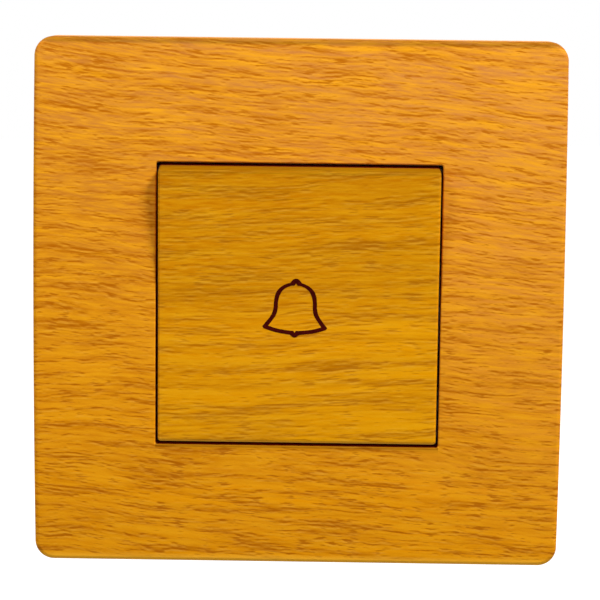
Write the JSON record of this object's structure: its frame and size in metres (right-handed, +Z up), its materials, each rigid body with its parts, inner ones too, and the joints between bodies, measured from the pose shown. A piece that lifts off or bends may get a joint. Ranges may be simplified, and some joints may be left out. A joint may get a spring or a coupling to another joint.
{
  "type": "doorbell switch",
  "caption": "Square wood-effect wall plate with one large square rocker key bearing a bell sign, over a sprung push contact in a housing for a wall box.",
  "frame": {"origin": "centre of the two fixing slots, on the wall plane", "axes": "+X right, +Z up, the front faces -Y and the housing reaches into the wall box along +Y"},
  "size_m": [0.086, 0.031, 0.086],
  "materials": {
    "wood_effect_frame": "satin wood-grain film over moulded plastic",
    "wood_effect_key": "satin wood-grain film over moulded plastic",
    "plate_plastic": "matte moulded",
    "housing_plastic": "fine matte moulded",
    "lid_plastic": "matte moulded",
    "dolly_plastic": "smooth moulded",
    "plunger_plastic": "smooth moulded",
    "steel_pin": "ground",
    "spring_steel": "drawn wire",
    "zinc_steel": "bright zinc plated",
    "brass": "machined",
    "copper_strip": "stamped copper alloy",
    "silver_contact": "silver alloy"
  },
  "bodies": {
    "housing": {"mounting_plate": "plate_plastic", "module_base": "housing_plastic", "module_cover": "lid_plastic", "pivot_pin": "steel_pin", "return_spring": "spring_steel", "fixed_contact_left": "copper_strip", "fixed_contact_right": "copper_strip", "fixed_rivets": "silver_contact", "terminal_left": "brass", "terminal_right": "brass", "terminal_screws": "zinc_steel", "module_screws": "zinc_steel", "cover_screws": "zinc_steel"},
    "cover": {"cover_frame": "wood_effect_frame"},
    "rocker": {"rocker_key": "wood_effect_key", "rocker_dolly": "dolly_plastic"},
    "striker": {"plunger": "plunger_plastic", "contact_bridge": "copper_strip", "moving_contacts": "silver_contact", "spring_cup": "zinc_steel"}
  },
  "joints": [
    {"name": "cover_lift", "type": "slide", "parent": "housing", "child": "cover", "axis": [0, -1, 0], "range_m": [0, 0.016]},
    {"name": "rocker_tilt", "type": "hinge", "parent": "housing", "child": "rocker", "pos_m": [0, -0.005, 0], "axis": [-1, 0, 0], "range_deg": [0, 6], "stiffness_Nm_per_rad": 0.24, "springref_deg": -8.02},
    {"name": "plunger_slide", "type": "slide", "parent": "housing", "child": "striker", "axis": [0, 1, 0], "range_m": [0, 0.00126], "deforming": ["return_spring"]}
  ],
  "couplings": [
    {"joint": "plunger_slide", "follows": "rocker_tilt", "m_per_rad": 0.011994}
  ]
}
